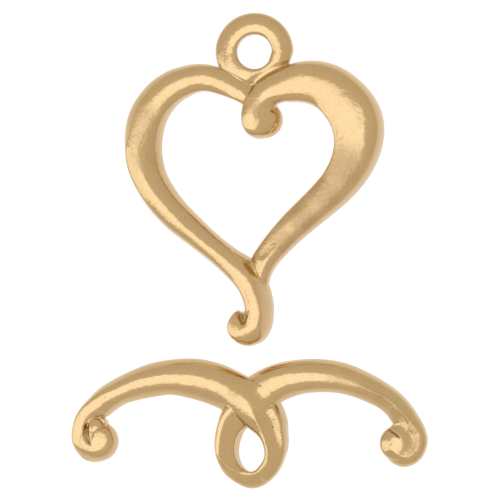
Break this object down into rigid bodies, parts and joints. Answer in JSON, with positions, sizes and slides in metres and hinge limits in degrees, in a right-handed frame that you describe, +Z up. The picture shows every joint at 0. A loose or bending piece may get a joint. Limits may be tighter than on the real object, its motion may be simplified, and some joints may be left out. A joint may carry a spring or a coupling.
{
  "type": "heart toggle clasp",
  "caption": "Jewellery toggle clasp: an open heart ring with a jump ring eye and scrolled ends, and a double-arched toggle bar with a loop, both lying flat.",
  "frame": {"origin": "on the surface that both pieces lie on, under the middle of their common box", "axes": "+X along the toggle bar to the right, +Y from the bar to the heart's eye, +Z up from the surface"},
  "size_m": [0.0214, 0.0284, 0.0024],
  "materials": {
    "gold_plate": "satin gold plate over a casting"
  },
  "bodies": {
    "root": {"heart_ring": "gold_plate", "toggle_bar": "gold_plate"}
  },
  "joints": []
}
